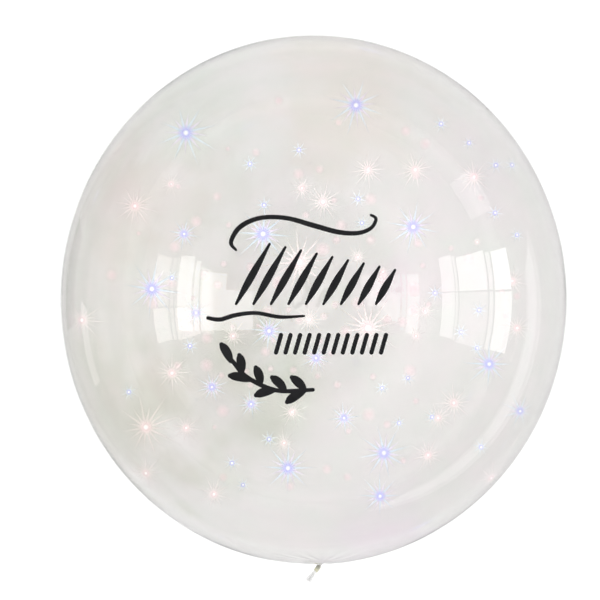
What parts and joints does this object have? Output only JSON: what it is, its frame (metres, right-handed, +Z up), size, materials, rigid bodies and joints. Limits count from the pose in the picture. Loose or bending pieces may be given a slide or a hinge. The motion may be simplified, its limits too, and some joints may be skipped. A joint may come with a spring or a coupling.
{
  "type": "clear bubble balloon",
  "caption": "Clear stretch-film bubble balloon, blown nearly round and tied at its gathered neck, lying on its back with a small dark print facing up.",
  "frame": {"origin": "middle of the small flat spot that the balloon rests on", "axes": "+Z up, through the printed side; +Y along the ball's long axis, from the tied neck to the crown; +X to the right of the print when read from above with the crown at the top"},
  "size_m": [0.55, 0.5962, 0.5474],
  "materials": {
    "clear_film": "clear stretched film with a soft gloss and a faint pastel sheen",
    "neck_cord": "olive cord, matt",
    "black_print": "thin opaque black print on the film, nearly matt",
    "cool_sparkle": "fine blue-violet glitter flecks clinging inside the film",
    "warm_sparkle": "fine rose-white glitter flecks clinging inside the film"
  },
  "bodies": {
    "root": {"balloon_film": "clear_film", "neck_tie": "neck_cord"}
  },
  "joints": []
}
